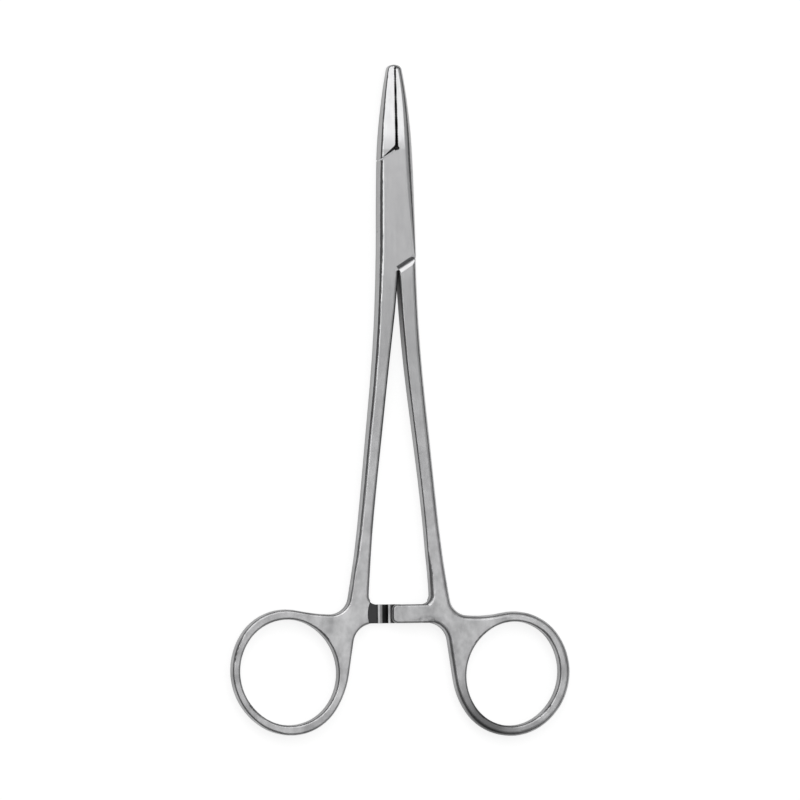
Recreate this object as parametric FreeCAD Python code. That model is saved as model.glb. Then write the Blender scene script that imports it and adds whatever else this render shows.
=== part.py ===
import FreeCAD, Part
import math
import os

from FreeCAD import Vector

# A 160 mm ring-handled needle holder, lying on its back, in millimetres.
# The pivot stands on the Z axis, +Y runs to the jaw tips and +Z is the front face.
# The box half has the right jaw, the slotted box and the left shank and ring.
# The tongue half has the left jaw, the tongue in the slot and the right shank and ring.
LEFT, RIGHT = -1, 1

# Lengths along the instrument, from the pivot
tip_reach = 34.2
shoulder_reach = 13.8     # inner end of the shoulder behind the left jaw
crotch_reach = 14.7       # inner end of the shoulder above the right shank
bar_reach = 96.8          # middle of the ratchet bars
ring_drop = {LEFT: 13.65, RIGHT: 14.65}   # ring centres below the bars

# Half widths of the closed instrument
tip_half_width = 1.8
jaw_half_width = 2.95
shoulder_half_width = 3.97
pivot_half_width = 4.35
crotch_half_width = 4.57

# Thickness, front to back
box_thickness = 6.0
tip_thickness = 2.9
handle_thickness = 4.0

# Shanks, whose centre lines run straight from the crotch to the ratchet
shank_top_offset = 1.6
shank_root_offset = 10.15
shank_top_width = 3.8
shank_waist_width = 3.45
shank_root_width = 4.2
shank_flare_width = 5.4   # where the shank spreads into the web
slit_length = 1.5         # narrow gap between the shanks below the crotch
slit_flare = 0.06         # how far each side of it leans out per length
crotch_offset = 0.3       # the crotch lies this far to the right
shank_gap = 0.2

# Finger rings: the left one has the larger opening and the thinner rim
ring_offset = {LEFT: 26.85, RIGHT: 27.35}
ring_lean = 12.7
opening_width = {LEFT: 23.5, RIGHT: 22.5}
opening_height = {LEFT: 25.3, RIGHT: 25.0}
rim_width = {LEFT: 1.95, RIGHT: 2.55}     # across the ring
rim_height = {LEFT: 2.4, RIGHT: 2.4}      # at both ends of the ring

# Web between ring and shank, and the round corners beside it
web_inner_offset = {LEFT: 12.3, RIGHT: 12.9}   # beside the ring
web_top_offset = {LEFT: 10.6, RIGHT: 11.1}     # beside the ratchet bar
web_leaves_ring = 385     # where the web leaves the rim, in degrees from the ring's long axis
web_meets_ring = 136
saddle_radius = 4.5
web_corner_radius = 4.9
shank_corner_radius = 2.2

# Ratchet
bar_height = 4.5
bar_overlap = 1.8         # each bar passes the middle by this much
bar_edge_radius = 0.5
bar_corner_radius = 1.3
tooth_pitch = 2.5
tooth_depth = 0.7
tooth_count = 3
tooth_land = 0.5
tooth_clearance = 0.2
recess_radius = 7.5       # cutter that clears the end of the other bar
recess_bite = 0.4         # depth of that cut in the edge of the shank

# Edge rounding
box_outer_rounding = 1.1
box_edge_rounding = 0.5
jaw_rounding = {LEFT: 0.8, RIGHT: 2.2}
tip_rounding = {LEFT: 0.5, RIGHT: 1.0}
opening_rounding = 0.6
outer_rounding = {LEFT: 0.65, RIGHT: 1.1}
inner_rounding = {LEFT: 0.8, RIGHT: 1.2}
slit_rounding = 0.3       # of the right shank's inner edge, beside the slit

# Box lock
tongue_thickness = 2.0
tongue_slack = 0.05
shoulder_gap = 0.3
heel_gap = 0.15           # between the box walls and the top of the right shank
shoulder_slope = 0.65     # rise per width of both shoulders
jaw_bevel = (1.2, 1.0)    # width and depth of the bevels along the shoulders
heel_bevel = (1.0, 1.0)
shank_bevel = (0.8, 0.35)
relief_radius = 0.45      # round cut at the root of the right jaw
relief_lift = 0.3
tongue_corner_reach = 1.5
corner_slack = 0.1
pin_radius = 1.6
pin_slack = 0.04
pin_head_radius = 2.2
pin_head_height = 0.6

# Jaws, which meet on the middle line
tip_gap = 0.06
base_gap = 0.44
groove_pitch = 0.6        # along the jaw
groove_depth = 0.26
groove_angle = 50.0
groove_skim = 0.01        # the ridges lie this far below the ground face
smooth_length = 0.6       # no grooves this far above the shoulder

# Long curves of the side profile, at the jaws, the crotch and the handle
profile_radii = (60, 400, 400)
flat_overrun = 2.8        # the box stays flat this far past its shoulders
handle_blend = 12.0       # the shanks reach the handles' thickness this far above the bars

ring_reach = {side: bar_reach + ring_drop[side] for side in (LEFT, RIGHT)}
mid_z = box_thickness / 2
shank_length = bar_reach - crotch_reach
side_reach = 3 * ring_offset[RIGHT]


def edge_between(start, end):
    """A straight edge."""
    return Part.LineSegment(start, end).toShape()


def spline(points, directions=None):
    """A smooth curve through the points, with its first and last direction if they are given."""
    curve = Part.BSplineCurve()
    if directions:
        curve.interpolate(points, InitialTangent=directions[0], FinalTangent=directions[1])
    else:
        curve.interpolate(points)
    return curve


def parameter_at(curve, y):
    """The parameter where a curve that runs down the instrument passes the height y."""
    low, high = curve.FirstParameter, curve.LastParameter
    for _ in range(50):
        middle = (low + high) / 2
        if curve.value(middle).y > y:
            low = middle
        else:
            high = middle
    return (low + high) / 2


def plate(edges, low, high, holes=()):
    """A flat plate with this outline and these holes between two heights."""
    face = Part.Face(Part.Wire(Part.__sortEdges__(edges)))
    for hole in holes:
        face = face.cut(Part.Face(Part.Wire(hole)))
    face.translate(Vector(0, 0, low))
    return face.extrude(Vector(0, 0, high - low))


def polygon_plate(points, low, high):
    """A flat plate with straight sides."""
    corners = [Vector(x, y, 0) for x, y in points]
    edges = [edge_between(a, b) for a, b in zip(corners, corners[1:] + corners[:1])]
    return plate(edges, low, high)


def shank_point(fraction, width, side):
    """A point on a shank's edge: width is signed, positive on the outer edge."""
    offset = shank_top_offset + (shank_root_offset - shank_top_offset) * fraction
    return Vector(side * (offset + width / 2), -crotch_reach - shank_length * fraction, 0)


def shank_stations():
    """Fractions of the shank's length, and its width there."""
    return [
        (0.24, shank_top_width),
        (0.52, shank_waist_width),
        (0.76, shank_waist_width),
        (0.90, shank_root_width),
        (1.00, shank_flare_width),
    ]


def outer_curve(side):
    """The outer edge of the closed instrument, from beside the tip to the saddle."""
    jaw_length = tip_reach - shoulder_reach
    widths = [
        (tip_half_width, tip_reach - 0.06 * jaw_length),
        (jaw_half_width, tip_reach - 0.44 * jaw_length),
        (shoulder_half_width, shoulder_reach),
        (pivot_half_width, 0),
        (crotch_half_width, -crotch_reach),
    ]
    head = [Vector(side * x, y, 0) for x, y in widths]
    shank = [shank_point(fraction, width, side) for fraction, width in shank_stations()]
    return spline(head + shank)


def tangent_arc(start, direction, end):
    """An arc between two points that leaves the first one in this direction."""
    chord = end - start
    across = direction - chord * (direction.dot(chord) / chord.dot(chord))
    bulge = math.tan(direction.getAngle(chord) / 2) * chord.Length / 2
    middle = start + chord / 2 + across.normalize() * bulge
    return Part.Arc(start, middle, end).toShape()


def ring_point(side, on_rim, degrees):
    """A point on a finger ring's opening or on its outer edge, and the direction out of it there.

    Both are ovals of four quarter arcs. Degrees run from the long axis towards the shank.
    """
    lean = math.radians(ring_lean)
    along = Vector(side * math.sin(lean), math.cos(lean), 0)
    across = Vector(-side * math.cos(lean), math.sin(lean), 0)
    half_height = opening_height[side] / 2 + on_rim * rim_height[side]
    half_width = opening_width[side] / 2 + on_rim * rim_width[side]
    shift = (half_height - half_width) / (2 - math.sqrt(2))
    turn = math.radians(degrees)
    outward = along * math.cos(turn) + across * math.sin(turn)
    quarter = round(degrees / 90) % 4
    hub = Vector(side * ring_offset[side], -ring_reach[side], 0)
    hub += (along, across * -1, along * -1, across)[quarter] * shift
    radius = half_width + shift if quarter % 2 else half_height - shift
    return hub + outward * radius, outward


def ring_arcs(side, on_rim, first, last):
    """The arcs of a ring's opening or outer edge between two angles."""
    joints = [degrees for degrees in range(-45, 450, 90) if first < degrees < last]
    stops = [first] + joints + [last]
    return [
        Part.Arc(*[ring_point(side, on_rim, at)[0] for at in (a, (a + b) / 2, b)]).toShape()
        for a, b in zip(stops, stops[1:])
    ]


def bar_levels():
    """Lower and upper edge of the ratchet bars in plan."""
    return -bar_reach - bar_height / 2, -bar_reach + bar_height / 2


def shank_inner_curve(side):
    """The inner edge of a shank, from the foot of the slit to the ratchet bar."""
    inner = [shank_point(fraction, -width, side) for fraction, width in shank_stations()]
    inner[-1].y = bar_levels()[1]
    foot = slit_top(side) + Vector(side * slit_flare * slit_length, -slit_length, 0)
    return spline([foot] + inner, [foot - slit_top(side), Vector(0, -1, 0)])


def slit_top(side):
    """The top of a shank's inner edge, at the crotch."""
    return Vector(crotch_offset + side * shank_gap / 2, -crotch_reach, 0)


def across_to(outward, goal):
    """The direction square to this one in plan that leads towards the goal."""
    square = Vector(-outward.y, outward.x, 0)
    return square if square.dot(goal) > 0 else -square


def handle_edges(side):
    """Plan outline of one shank, web and ring, from the saddle round to the crotch."""
    low, high = bar_levels()
    saddle = outer_curve(side).EndPoint
    shank_curve = shank_inner_curve(side)
    stub_x = shank_curve.EndPoint.x - side * 1.3 * shank_corner_radius
    web_corner = Vector(side * web_top_offset[side], low, 0)
    web_side = Vector(side * web_inner_offset[side], -ring_reach[side], 0)
    leave, outward = ring_point(side, True, web_leaves_ring)
    web_top = tangent_arc(leave, across_to(outward, saddle - leave), saddle)
    arrive, outward = ring_point(side, True, web_meets_ring)
    rise = across_to(outward, web_side - arrive)
    up_web = (web_corner - web_side).normalize()
    to_side = web_side - arrive
    run = to_side.cross(up_web).z / rise.cross(up_web).z
    web_end = arrive + rise * run + up_web * run
    return ring_arcs(side, True, web_meets_ring, web_leaves_ring) + [
        web_top,
        tangent_arc(arrive, rise, web_end),
        edge_between(web_end, web_corner),
        edge_between(web_corner, Vector(stub_x, low, 0)),
        edge_between(Vector(stub_x, low, 0), Vector(stub_x, high, 0)),
        edge_between(Vector(stub_x, high, 0), shank_curve.EndPoint),
        shank_curve.toShape(),
        edge_between(shank_curve.StartPoint, slit_top(side)),
    ]


def upper_shoulder(x):
    """Height of the box walls' upper edge, behind the left jaw."""
    return shoulder_reach + shoulder_slope * x


def lower_shoulder(x):
    """Height of the box walls' lower edge, above the right shank."""
    return -crotch_reach + shoulder_slope * (x - crotch_offset)


def crossing(curve, height):
    """The parameter where a curve down the instrument meets a sloping shoulder line."""
    low, high = curve.FirstParameter, curve.LastParameter
    for _ in range(50):
        middle = (low + high) / 2
        point = curve.value(middle)
        if point.y > height(point.x):
            low = middle
        else:
            high = middle
    return low


def jaw_edges(side, height):
    """Plan outline of a jaw's nose and gripping face, down to the line at this height."""
    curve = outer_curve(side)
    tip = Vector(side * tip_gap / 2, tip_reach, 0)
    base_x = side * base_gap / 2
    base = Vector(base_x, height(base_x), 0)
    nose = spline([curve.StartPoint, tip], [-curve.tangent(0)[0], Vector(-side, 0, 0)])
    return [nose.toShape(), edge_between(tip, base)], base


def eased_path(points, radii):
    """Straight edges through the points with an arc of each radius at the inner corners."""
    edges = []
    last = points[0]
    for before, corner, after, radius in zip(points, points[1:], points[2:], radii):
        back, ahead = (before - corner).normalize(), (after - corner).normalize()
        half_turn = (math.pi - back.getAngle(ahead)) / 2
        run = radius * math.tan(half_turn)
        depth = radius / math.cos(half_turn) - radius
        first, second = corner + back * run, corner + ahead * run
        middle = corner + (back + ahead).normalize() * depth
        edges += [edge_between(last, first), Part.Arc(first, middle, second).toShape()]
        last = second
    return edges + [edge_between(last, points[-1])]


def side_profile():
    """The closed instrument seen from the side, thick at the box and thin at the tips."""
    taper_top = shoulder_reach + flat_overrun
    slope = (box_thickness - tip_thickness) / 2 / (tip_reach - taper_top)
    corners = [
        (tip_reach + 1, tip_thickness / 2 - slope),
        (taper_top, box_thickness / 2),
        (-crotch_reach - 1.6 * flat_overrun, box_thickness / 2),
        (-bar_reach + handle_blend, handle_thickness / 2),
        (-2 * bar_reach, handle_thickness / 2),
    ]
    front = [Vector(-side_reach, y, mid_z + half) for y, half in corners]
    back = [Vector(-side_reach, y, mid_z - half) for y, half in corners]
    edges = eased_path(front, profile_radii) + eased_path(back, profile_radii)
    edges += [edge_between(front[0], back[0]), edge_between(front[-1], back[-1])]
    outline = Part.Wire(Part.__sortEdges__(edges))
    return Part.Face(outline).extrude(Vector(2 * side_reach, 0, 0))


def fade(y, start, end):
    """From 0 above the height start to 1 below the height end."""
    return min(max((start - y) / (start - end), 0), 1)


def jaw_radius(side, y):
    """Edge rounding along the outside of a jaw."""
    along = fade(y, tip_reach, shoulder_reach + flat_overrun)
    return tip_rounding[side] + (jaw_rounding[side] - tip_rounding[side]) * along


def box_jaw_radius(y):
    """Edge rounding down the right side, from the round jaw to the square edge of the box."""
    along = fade(y, shoulder_reach + flat_overrun, 0.5 * shoulder_reach)
    return jaw_radius(RIGHT, y) + (box_edge_rounding - jaw_rounding[RIGHT]) * along


def box_shank_radius(y):
    """Edge rounding down the left side, from the box to the shank."""
    along = fade(y, -crotch_reach, -crotch_reach - 0.3 * shank_length)
    return box_outer_rounding + (outer_rounding[LEFT] - box_outer_rounding) * along


def right_inner_radius(y):
    """Edge rounding down the inner side of the right shank, which is sharp beside the slit."""
    along = fade(y, -crotch_reach - slit_length, -crotch_reach - 0.6 * shank_length)
    return slit_rounding + (inner_rounding[RIGHT] - slit_rounding) * along


def lies_on(edge, guide):
    """Whether an edge of the blank stands over or under an edge of its outline."""
    points = edge.discretize(3)
    flat = [Part.Vertex(point.x, point.y, 0) for point in points]
    return all(point.distToShape(guide)[0] < 0.01 for point in flat)


def stands_upright(edge):
    """Whether an edge runs straight from the back to the front."""
    first, last = edge.firstVertex().Point, edge.lastVertex().Point
    return math.hypot(first.x - last.x, first.y - last.y) < 0.01 < abs(first.z - last.z)


def rim_edges(solid):
    """The edges between the faces of a blank and its upright walls."""
    rims = []
    for number, edge in enumerate(solid.Edges, 1):
        if stands_upright(edge):
            continue
        walls = [
            face for face in solid.ancestorsOfType(edge, Part.Face)
            if abs(face.normalAt(*middle_of(face)).z) < 0.001
        ]
        if len(walls) == 1:
            rims.append((number, edge))
    return rims


def middle_of(face):
    """The middle of a face in its own parameters."""
    low_u, high_u, low_v, high_v = face.ParameterRange
    return (low_u + high_u) / 2, (low_v + high_v) / 2


def round_rims(solid, rules):
    """Round the rims that stand over each curve by its radius rule, front and back alike."""
    front_room = Part.makeBox(4 * side_reach, 4 * side_reach, box_thickness)
    front = solid.common(front_room.translated(Vector(-2 * side_reach, -3 * side_reach, mid_z)))
    document = FreeCAD.newDocument()
    base = document.addObject("Part::Feature", "base")
    base.Shape = front
    rounded = document.addObject("Part::Fillet", "rounded")
    rounded.Base = base
    choices = []
    for number, edge in rim_edges(front):
        rule = next((rule for curve, rule in rules if lies_on(edge, curve)), None)
        if rule and edge.CenterOfMass.z > mid_z + 0.1:
            first, last = edge.firstVertex().Point, edge.lastVertex().Point
            choices.append((number, rule(first.y), rule(last.y)))
    rounded.Edges = choices
    document.recompute()
    shape = rounded.Shape.copy()
    FreeCAD.closeDocument(document.Name)
    middle = Vector(0, 0, mid_z)
    return shape.fuse(shape.mirror(middle, Vector(0, 0, 1))).removeSplitter()


def upright_edges(solid, points):
    """The upright edge of a plate nearest each plan point."""
    upright = [edge for edge in solid.Edges if stands_upright(edge)]
    return [min(upright, key=lambda edge: (edge.CenterOfMass.x - p.x) ** 2
                + (edge.CenterOfMass.y - p.y) ** 2) for p in points]


def blank(edges, side):
    """One half cut to its outline, its ring opening and its side profile."""
    low, high = bar_levels()
    solid = plate(edges, 0, box_thickness, [ring_arcs(side, False, -45, 315)])
    corners = [
        (outer_curve(side).EndPoint, saddle_radius),
        (Vector(side * web_top_offset[side], low, 0), web_corner_radius),
        (shank_inner_curve(side).EndPoint, shank_corner_radius),
    ]
    for point, radius in corners:
        solid = solid.makeFillet(radius, upright_edges(solid, [point]))
    return solid.common(side_profile())


def ratchet_bar(side):
    """A bar with sawteeth on its inner side, which passes the bar of the other half."""
    low, high = bar_levels()
    outer_z = mid_z + side * handle_thickness / 2
    crest = mid_z + side * tooth_clearance / 2
    valley = crest + side * tooth_depth
    root = side * (shank_root_offset - shank_flare_width / 2 + 2 * recess_bite)
    points = [(root, outer_z), (root, valley)]
    for tooth in reversed(range(tooth_count)):
        lock = side * tooth * tooth_pitch
        foot = lock - side * (tooth_pitch if tooth else bar_overlap)
        points += [(lock, valley), (lock, crest), (lock - side * tooth_land, crest)]
        if not tooth:
            points += [(foot, crest + side * tooth_depth / 2), (foot, outer_z)]
    corners = [Vector(x, low, z) for x, z in points]
    edges = [edge_between(a, b) for a, b in zip(corners, corners[1:] + corners[:1])]
    bar = Part.Face(Part.Wire(edges)).extrude(Vector(0, bar_height, 0))
    tip_x = -side * bar_overlap
    tips = [edge for edge in bar.Edges
            if abs(edge.CenterOfMass.x - tip_x) < 0.01 and abs(edge.tangentAt(0).z) > 0.9]
    bar = bar.makeFillet(bar_corner_radius, tips)
    rim = [edge for edge in bar.Edges
           if abs(edge.CenterOfMass.z - outer_z) < 0.01 and abs(edge.CenterOfMass.x - root) > 0.01]
    return bar.makeFillet(bar_edge_radius, rim)


def recess_cutter(side):
    """The round cut behind or in front of a bar's root, open to the other bar."""
    low, high = bar_levels()
    edge_x = shank_root_offset - shank_flare_width / 2 + recess_bite
    centre = Vector(side * (edge_x - recess_radius), (low + high) / 2, mid_z)
    valley = side * (tooth_clearance / 2 + tooth_depth)
    cutter = Part.makeCylinder(recess_radius, box_thickness, centre + Vector(0, 0, valley),
                               Vector(0, 0, -side))
    return cutter


def bevel_cutter(line, widths, depth, inward):
    """Removes a bevel along the front edge of a shoulder, and the same one at the back."""
    rise = Vector(0, 0, depth)
    wires = []
    for point, width in zip(line, widths):
        corners = [
            point + inward * width,
            point - rise,
            point - rise - inward * depth,
            point + rise - inward * depth,
            point + rise + inward * width,
        ]
        wires.append(Part.makePolygon(corners + corners[:1]))
    front = Part.makeLoft(wires, True, True)
    return [front, front.mirror(Vector(0, 0, mid_z), Vector(0, 0, 1))]


def shoulder_line(height, first_x, last_x, lift=0):
    """The two ends of a line along a shoulder, in the front face of the box."""
    return [Vector(x, height(x) + lift, box_thickness) for x in (first_x, last_x)]


def groove_combs(side):
    """Two toothed tools whose crossed V grooves leave rows of small pyramids on a jaw."""
    tip = Vector(side * tip_gap / 2, tip_reach, mid_z)
    base = Vector(side * base_gap / 2, shoulder_reach, mid_z)
    down = (base - tip).normalize()
    into = Vector(-down.y, down.x, 0) * side
    angle = math.radians(groove_angle)
    half_run = 0.6 * box_thickness / math.sin(angle)
    overrun = half_run * math.cos(angle)
    count = math.ceil(((base - tip).Length + 2 * overrun) / groove_pitch)
    room = Part.makeBox(box_thickness, tip_reach - shoulder_reach, box_thickness)
    room.translate(Vector(-box_thickness / 2, shoulder_reach + smooth_length, 0))
    combs = []
    for lean in (-1, 1):
        along = down * math.cos(angle) + Vector(0, 0, lean * math.sin(angle))
        ridge = tip - down * overrun - along * half_run
        points = [ridge - into * groove_depth]
        for _ in range(count):
            valley = ridge + down * groove_pitch / 2
            points += [ridge + into * groove_skim, valley + into * groove_depth]
            ridge = ridge + down * groove_pitch
        points += [ridge + into * groove_skim, ridge - into * groove_depth]
        section = Part.Face(Part.makePolygon(points + points[:1]))
        combs.append(section.extrude(along * 2 * half_run).common(room))
    return combs


def lock_pin():
    """The rivet of the box lock, with its ends peened into the walls."""
    shaft = Part.makeCylinder(pin_radius, box_thickness)
    back = Part.makeCone(pin_head_radius, pin_radius, pin_head_height)
    front = Part.makeCone(pin_radius, pin_head_radius, pin_head_height)
    front.translate(Vector(0, 0, box_thickness - pin_head_height))
    return shaft.fuse([front, back]).removeSplitter()


def tongue_outline(slack):
    """Plan corners of the tongue, which runs from the left jaw to the right shank."""
    jaw_side = -base_gap / 2 + slack
    shank_side = slit_top(RIGHT).x - slack
    beyond = 1.5 * pivot_half_width
    return [
        (jaw_side, shoulder_reach + shoulder_gap + slack),
        (beyond, tongue_corner_reach + slack),
        (beyond, lower_shoulder(beyond) - heel_gap - slack),
        (shank_side, lower_shoulder(shank_side) - heel_gap - slack),
        (-beyond, -tongue_corner_reach - slack),
        (-beyond, upper_shoulder(-beyond) + shoulder_gap + slack),
    ]


def tongue():
    """The thin middle of the tongue half, flush with the sides of the box."""
    half = tongue_thickness / 2
    slab = polygon_plate(tongue_outline(0), mid_z - half, mid_z + half)
    left, right = outer_curve(LEFT), outer_curve(RIGHT)
    top, bottom = tip_reach - 4, -crotch_reach - slit_length
    sides = [
        curve.toShape(parameter_at(curve, top), parameter_at(curve, bottom))
        for curve in (left, right)
    ]
    ends = [
        edge_between(left.value(parameter_at(left, y)), right.value(parameter_at(right, y)))
        for y in (top, bottom)
    ]
    return slab.common(plate(sides + ends, 0, box_thickness))


def with_ratchet(handle, side):
    """A handle with its ratchet bar, cut back where the other bar ends."""
    return handle.cut(recess_cutter(side)).fuse(ratchet_bar(side)).removeSplitter()


def box_half():
    """Right jaw, slotted box, left shank, ratchet bar and ring."""
    left, right = outer_curve(LEFT), outer_curve(RIGHT)
    jaw, base = jaw_edges(RIGHT, upper_shoulder)
    upper, lower = crossing(left, upper_shoulder), crossing(right, lower_shoulder)
    crotch = slit_top(LEFT)
    handle = handle_edges(LEFT)
    edges = [left.toShape(upper, left.LastParameter)] + handle
    edges += [edge_between(crotch, right.value(lower))]
    edges += [right.toShape(right.FirstParameter, lower)]
    edges += jaw
    edges += [edge_between(base, left.value(upper))]
    solid = round_rims(blank(edges, LEFT), [
        (left.toShape(), box_shank_radius),
        (right.toShape(), box_jaw_radius),
        (shank_inner_curve(LEFT).toShape(), lambda y: inner_rounding[LEFT]),
        (ring_arcs(LEFT, False, -45, 45)[0], lambda y: opening_rounding),
    ])
    solid = with_ratchet(solid, LEFT)
    half_slot = tongue_thickness / 2 + tongue_slack
    slot = polygon_plate(tongue_outline(corner_slack), mid_z - half_slot, mid_z + half_slot)
    relief_at = Vector(base.x, base.y + relief_lift, 0)
    relief = Part.makeCylinder(relief_radius, box_thickness, relief_at)
    beyond = 1.5 * pivot_half_width
    heel_edge = shoulder_line(lower_shoulder, crotch.x, beyond)
    cutters = [slot, relief, lock_pin()]
    cutters += bevel_cutter(heel_edge, heel_bevel[:1] * 2, heel_bevel[1], shoulder_away())
    solid = solid.cut(cutters)
    for comb in groove_combs(RIGHT):
        solid = solid.cut(comb)
    return solid


def shoulder_away():
    """Direction square to both shoulders, towards the tips."""
    return Vector(-shoulder_slope, 1, 0).normalize()


def tongue_half():
    """Left jaw, tongue, right shank, ratchet bar and ring."""
    left, right = outer_curve(LEFT), outer_curve(RIGHT)
    jaw, base = jaw_edges(LEFT, lambda x: upper_shoulder(x) + shoulder_gap)
    upper = crossing(left, lambda x: upper_shoulder(x) + shoulder_gap)
    lower = crossing(right, lambda x: lower_shoulder(x) - heel_gap)
    jaw += [left.toShape(left.FirstParameter, upper), edge_between(base, left.value(upper))]
    jaw_solid = round_rims(plate(jaw, 0, box_thickness).common(side_profile()), [
        (left.toShape(), lambda y: jaw_radius(LEFT, y)),
    ])
    handle = handle_edges(RIGHT)
    heel_x = slit_top(RIGHT).x
    heel = Vector(heel_x, lower_shoulder(heel_x) - heel_gap, 0)
    handle[-1] = edge_between(shank_inner_curve(RIGHT).StartPoint, heel)
    edges = handle + [right.toShape(lower, right.LastParameter)]
    edges += [edge_between(heel, right.value(lower))]
    shank_solid = round_rims(blank(edges, RIGHT), [
        (right.toShape(), lambda y: outer_rounding[RIGHT]),
        (shank_inner_curve(RIGHT).toShape(), right_inner_radius),
        (ring_arcs(RIGHT, False, -45, 45)[0], lambda y: opening_rounding),
    ])
    beyond = 1.5 * pivot_half_width
    jaw_edge = shoulder_line(upper_shoulder, left.value(upper).x, jaw_bevel[0], shoulder_gap)
    jaw_cut = bevel_cutter(jaw_edge, (0.01, jaw_bevel[0]), jaw_bevel[1], shoulder_away())
    heel_edge = shoulder_line(lower_shoulder, heel.x, beyond, -heel_gap)
    heel_cut = bevel_cutter(heel_edge, shank_bevel[:1] * 2, shank_bevel[1], -shoulder_away())
    jaw_solid = jaw_solid.cut(jaw_cut)
    for comb in groove_combs(LEFT):
        jaw_solid = jaw_solid.cut(comb)
    shank_solid = with_ratchet(shank_solid, RIGHT).cut(heel_cut)
    bore = Part.makeCylinder(pin_radius + pin_slack, box_thickness)
    return shank_solid.fuse([tongue().cut(bore), jaw_solid])


os.makedirs("parts", exist_ok=True)
box_half().exportStep("parts/box_half.step")
tongue_half().exportStep("parts/tongue_half.step")
lock_pin().exportStep("parts/lock_pin.step")
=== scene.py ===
import math

import bpy
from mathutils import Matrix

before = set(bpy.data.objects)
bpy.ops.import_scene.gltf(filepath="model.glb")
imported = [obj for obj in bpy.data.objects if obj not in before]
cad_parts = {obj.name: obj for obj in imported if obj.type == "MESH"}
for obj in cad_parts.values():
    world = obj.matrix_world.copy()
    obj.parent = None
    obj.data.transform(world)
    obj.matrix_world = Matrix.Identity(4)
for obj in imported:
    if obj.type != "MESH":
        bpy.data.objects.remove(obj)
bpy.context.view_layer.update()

MM = 0.001

# The photograph looks down on the box lock side, a little from the left, with the tips a hair
# to the left of upright.
VIEW_CENTRE = (0.78 * MM, -45.8 * MM)
VIEW_WIDTH = 190.9 * MM
VIEW_TURN = math.radians(-0.52)
VIEW_LEAN = math.radians(10)
VIEW_DISTANCE = 2.5
SENSOR = 36.0
MID_PLANE = 3.0 * MM

# What the lamps leave short of white on the sheet, which lenses and mirrors see and the lamps don't.
SHEET_GLOW = 0.8
LAMP_DISTANCE = 2.5


def colour(code):
    """Turns an sRGB hex value such as A6A6A8 into the linear colour that a shader takes."""
    channels = [int(code[i:i + 2], 16) / 255 for i in (0, 2, 4)]
    return [c / 12.92 if c <= 0.04045 else ((c + 0.055) / 1.055) ** 2.4 for c in channels] + [1.0]


def add_node(tree, kind, inputs=None, **settings):
    """Adds a node, sets its properties or sockets by name, and fills inputs with links or numbers."""
    node = tree.nodes.new(kind)
    for name, value in settings.items():
        if hasattr(node, name):
            setattr(node, name, value)
        else:
            node.inputs[name.replace("_", " ")].default_value = value
    for socket, source in (inputs or {}).items():
        if isinstance(source, bpy.types.NodeSocket):
            tree.links.new(source, node.inputs[socket])
        else:
            node.inputs[socket].default_value = source
    return node


def new_material(name):
    """An empty node material and its output node."""
    material = bpy.data.materials.new(name)
    material.use_nodes = True
    tree = material.node_tree
    tree.nodes.clear()
    return material, tree, tree.nodes.new("ShaderNodeOutputMaterial")


def band(tree, value, low, high, edge):
    """1 where a value lies between two limits and 0 outside, with soft ends."""
    rise = add_node(tree, "ShaderNodeMapRange", {"Value": value},
                    From_Min=low - edge, From_Max=low + edge)
    fall = add_node(tree, "ShaderNodeMapRange", {"Value": value},
                    From_Min=high - edge, From_Max=high + edge, To_Min=1.0, To_Max=0.0)
    return product(tree, rise.outputs[0], fall.outputs[0])


def calculate(tree, operation, first, second):
    """The sum, difference, product or maximum of two values."""
    return add_node(tree, "ShaderNodeMath", {0: first, 1: second}, operation=operation).outputs[0]


def product(tree, *values):
    """Several masks multiplied together."""
    result = values[0]
    for value in values[1:]:
        result = calculate(tree, "MULTIPLY", result, value)
    return result


def noise(tree, place, size, detail):
    """Cloudy variation from 0 to 1, with patches of about this size along X, Y and Z in metres."""
    stretch = add_node(tree, "ShaderNodeMapping", {"Vector": place},
                       Scale=[1 / length for length in size])
    cloud = add_node(tree, "ShaderNodeTexNoise", {"Vector": stretch.outputs[0]},
                     Scale=1.0, Detail=detail, Roughness=0.6)
    spread = add_node(tree, "ShaderNodeMapRange", {"Value": cloud.outputs["Fac"]},
                      From_Min=0.3, From_Max=0.7)
    return spread.outputs[0]


def spot(tree, place, centre, reach):
    """1 around a point of the plan, fading to 0 at this reach along X and Y, in millimetres."""
    local = add_node(tree, "ShaderNodeMapping", {"Vector": place},
                     Location=(-centre[0] / reach[0], -centre[1] / reach[1], 0),
                     Scale=(1 / (reach[0] * MM), 1 / (reach[1] * MM), 0))
    distance = add_node(tree, "ShaderNodeVectorMath", {0: local.outputs[0]}, operation="LENGTH")
    fade = add_node(tree, "ShaderNodeMapRange", {"Value": distance.outputs["Value"]},
                    From_Min=1.0, From_Max=0.3)
    return fade.outputs[0]


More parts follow.
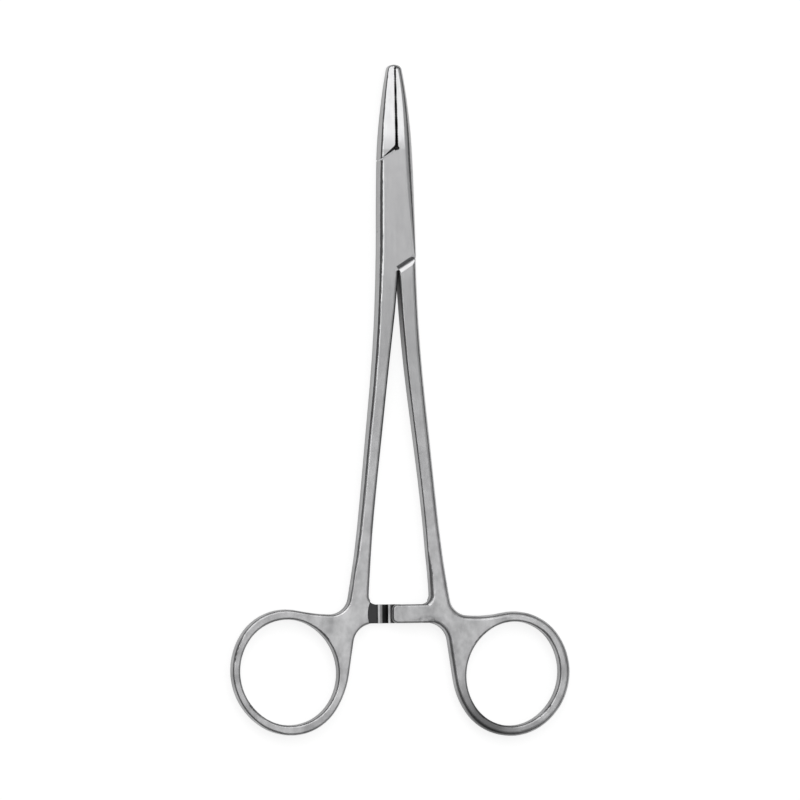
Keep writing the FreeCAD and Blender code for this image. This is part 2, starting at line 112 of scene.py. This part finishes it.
def satin_stainless(name, side):
    """Forged stainless steel, ground and brushed: a soft sheen, duller and cloudier at the handles.

    The round cut at the ratchet is painted dark as shade in that recess. It lies behind
    the middle plane in one half and in front of it in the other: side is -1 or 1.
    """
    material, tree, output = new_material(name)
    place = add_node(tree, "ShaderNodeTexCoord").outputs["Object"]
    x, y, z = add_node(tree, "ShaderNodeSeparateXYZ", {"Vector": place}).outputs
    # Brush marks run down the instrument; real ones are 0.1 mm wide and are drawn wider here.
    brushing = noise(tree, place, (0.45 * MM, 9 * MM, 0.45 * MM), 3.0)
    clouds = noise(tree, place, (3.5 * MM, 5 * MM, 3.5 * MM), 5.0)
    handles = add_node(tree, "ShaderNodeMapRange", {"Value": y},
                       From_Min=-30 * MM, From_Max=-95 * MM).outputs[0]
    bare = add_node(tree, "ShaderNodeMixRGB", {"Fac": clouds},
                    Color1=colour("A4A4A5"), Color2=colour("ACACAD"))
    worn = add_node(tree, "ShaderNodeMixRGB", {"Fac": clouds},
                    Color1=colour("929293"), Color2=colour("BEBEBF"))
    steel_colour = add_node(tree, "ShaderNodeMixRGB", {
        "Fac": handles, "Color1": bare.outputs[0], "Color2": worn.outputs[0]})
    depth = calculate(tree, "SUBTRACT", z, MID_PLANE)
    # Painted shade: the floor of the recess at the ratchet is darkened in the colour.
    painted_recess_shade = product(
        tree,
        band(tree, product(tree, depth, side), 0.3 * MM, 1.1 * MM, 0.02 * MM),
        band(tree, product(tree, x, side), -1.6 * MM, 8.3 * MM, 0.02 * MM),
        band(tree, y, -99.6 * MM, -93.9 * MM, 0.02 * MM),
    )
    # Painted dark reflection on the lower left of the right ring; a darker flecked grey patch along one
    # ratchet bar.
    flecks = noise(tree, place, (1.2 * MM, 0.8 * MM, 1.2 * MM), 3.0)
    painted_ring_shade = spot(tree, place, (21.5, -121.5), (11.5, 11.5))
    on_bar = product(tree, spot(tree, place, (6.6, -98.4), (4.8, 1.4)), flecks)
    ring_shade_and_bar_patch = add_node(tree, "ShaderNodeMixRGB", {
        "Fac": calculate(tree, "MAXIMUM", painted_ring_shade, on_bar),
        "Color1": steel_colour.outputs[0]}, Color2=colour("656566"))
    darkened = add_node(tree, "ShaderNodeMixRGB", {
        "Fac": painted_recess_shade, "Color1": ring_shade_and_bar_patch.outputs[0]}, Color2=colour("3C3C3D"))
    sheen = add_node(tree, "ShaderNodeMapRange", {"Value": handles}, To_Min=0.17, To_Max=0.32)
    streaks = add_node(tree, "ShaderNodeMapRange", {"Value": brushing}, To_Min=0.0, To_Max=0.05)
    roughness = calculate(tree, "ADD", sheen.outputs[0], streaks.outputs[0])
    relief = add_node(tree, "ShaderNodeBump", {"Height": brushing}, Strength=0.15,
                      Distance=0.002 * MM)
    steel = add_node(tree, "ShaderNodeBsdfPrincipled", {
        "Base Color": darkened.outputs[0], "Roughness": roughness,
        "Normal": relief.outputs[0]}, Metallic=1.0)
    tree.links.new(steel.outputs["BSDF"], output.inputs["Surface"])
    return material


def pale_floor():
    """A pale matt sheet whose colour reads white in the picture and keeps a soft shadow."""
    material, tree, output = new_material("matt_white_sheet")
    ray = add_node(tree, "ShaderNodeLightPath")
    mirrored = calculate(tree, "MAXIMUM",
                         ray.outputs["Is Glossy Ray"], ray.outputs["Is Transmission Ray"])
    # Painted shade: close to the steel, ambient occlusion darkens the sheet's glow in mirror rays, and
    # the polished sides show it so.
    open_sky = add_node(tree, "ShaderNodeAmbientOcclusion", Distance=8 * MM, samples=8)
    painted_contact_shade = product(tree, mirrored, open_sky.outputs["AO"])
    seen = calculate(tree, "MAXIMUM", ray.outputs["Is Camera Ray"], painted_contact_shade)
    sheet = add_node(tree, "ShaderNodeBsdfDiffuse", Color=colour("A0A0A0"))
    white = add_node(tree, "ShaderNodeEmission", {"Strength": product(tree, seen, SHEET_GLOW)})
    both = add_node(tree, "ShaderNodeAddShader", {0: sheet.outputs[0], 1: white.outputs[0]})
    tree.links.new(both.outputs[0], output.inputs["Surface"])
    return material


def lay_floor():
    """A flat square under the instrument, just below its back face."""
    half = 1.5
    mesh = bpy.data.meshes.new("floor")
    corners = [(-half, -half, 0), (half, -half, 0), (half, half, 0), (-half, half, 0)]
    mesh.from_pydata([(x, y, -0.05 * MM) for x, y, z in corners], [], [(0, 1, 2, 3)])
    floor = bpy.data.objects.new("floor", mesh)
    mesh.materials.append(pale_floor())
    bpy.context.scene.collection.objects.link(floor)


def softbox(name, bearing, lean, width, height, radiance):
    """A broad flat lamp facing the instrument: bearing from +X, lean from overhead, in degrees."""
    lamp = bpy.data.lights.new(name, "AREA")
    lamp.shape = "RECTANGLE"
    lamp.size, lamp.size_y = width, height
    lamp.energy = radiance * math.pi * width * height
    box = bpy.data.objects.new(name, lamp)
    turn, tilt = math.radians(bearing), math.radians(lean)
    box.location = (
        LAMP_DISTANCE * math.sin(tilt) * math.cos(turn),
        LAMP_DISTANCE * math.sin(tilt) * math.sin(turn),
        LAMP_DISTANCE * math.cos(tilt),
    )
    box.rotation_euler = (0, tilt, turn)
    box.visible_camera = False
    bpy.context.scene.collection.objects.link(box)


def soft_studio():
    """A dim room with a bright lamp past the tips, a softer one past the rings, a dim one at the right.

    The flat faces mirror the softer lamp; the jaws and the left-hand creases mirror the bright one.
    """
    world = bpy.data.worlds.new("dim_room")
    bpy.context.scene.world = world
    world.use_nodes = True
    tree = world.node_tree
    tree.nodes.clear()
    output = tree.nodes.new("ShaderNodeOutputWorld")
    ray = add_node(tree, "ShaderNodeLightPath")
    room = add_node(tree, "ShaderNodeBackground", Strength=0.2)
    white = add_node(tree, "ShaderNodeBackground", Strength=1.0)
    pick = add_node(tree, "ShaderNodeMixShader", {
        0: ray.outputs["Is Camera Ray"], 1: room.outputs[0], 2: white.outputs[0]})
    tree.links.new(pick.outputs[0], output.inputs["Surface"])
    softbox("key_above_the_tips", 112, 24.5, 2.3, 1.9, 2.2)
    softbox("fill_towards_the_rings", -68, 12.75, 1.09, 2.2, 0.65)
    softbox("dim_side_right", 0, 36, 1.8, 4.2, 0.5)


def look_down():
    """A long lens high above the middle of the picture, leaning to the left."""
    lens = bpy.data.cameras.new("view")
    lens.sensor_width = SENSOR
    lens.lens = SENSOR * VIEW_DISTANCE / VIEW_WIDTH
    lens.clip_end = 20
    camera = bpy.data.objects.new("view", lens)
    sideways = VIEW_DISTANCE * math.sin(VIEW_LEAN)
    camera.location = (
        VIEW_CENTRE[0] - sideways * math.cos(VIEW_TURN),
        VIEW_CENTRE[1] - sideways * math.sin(VIEW_TURN),
        MID_PLANE + VIEW_DISTANCE * math.cos(VIEW_LEAN),
    )
    camera.rotation_euler = (0, -VIEW_LEAN, VIEW_TURN)
    bpy.context.scene.collection.objects.link(camera)
    bpy.context.scene.camera = camera


def finish_steel():
    """Every piece of the instrument is the same forging steel, each with its own material."""
    finishes = {
        "box_half": ("satin_stainless_box_half", -1),
        "tongue_half": ("satin_stainless_tongue_half", 1),
        "lock_pin": ("satin_stainless_rivet", 1),
    }
    for node, (name, side) in finishes.items():
        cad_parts[node].material_slots[0].material = satin_stainless(name, side)


bpy.context.scene.view_settings.view_transform = "Standard"
look_down()
lay_floor()
soft_studio()
finish_steel()
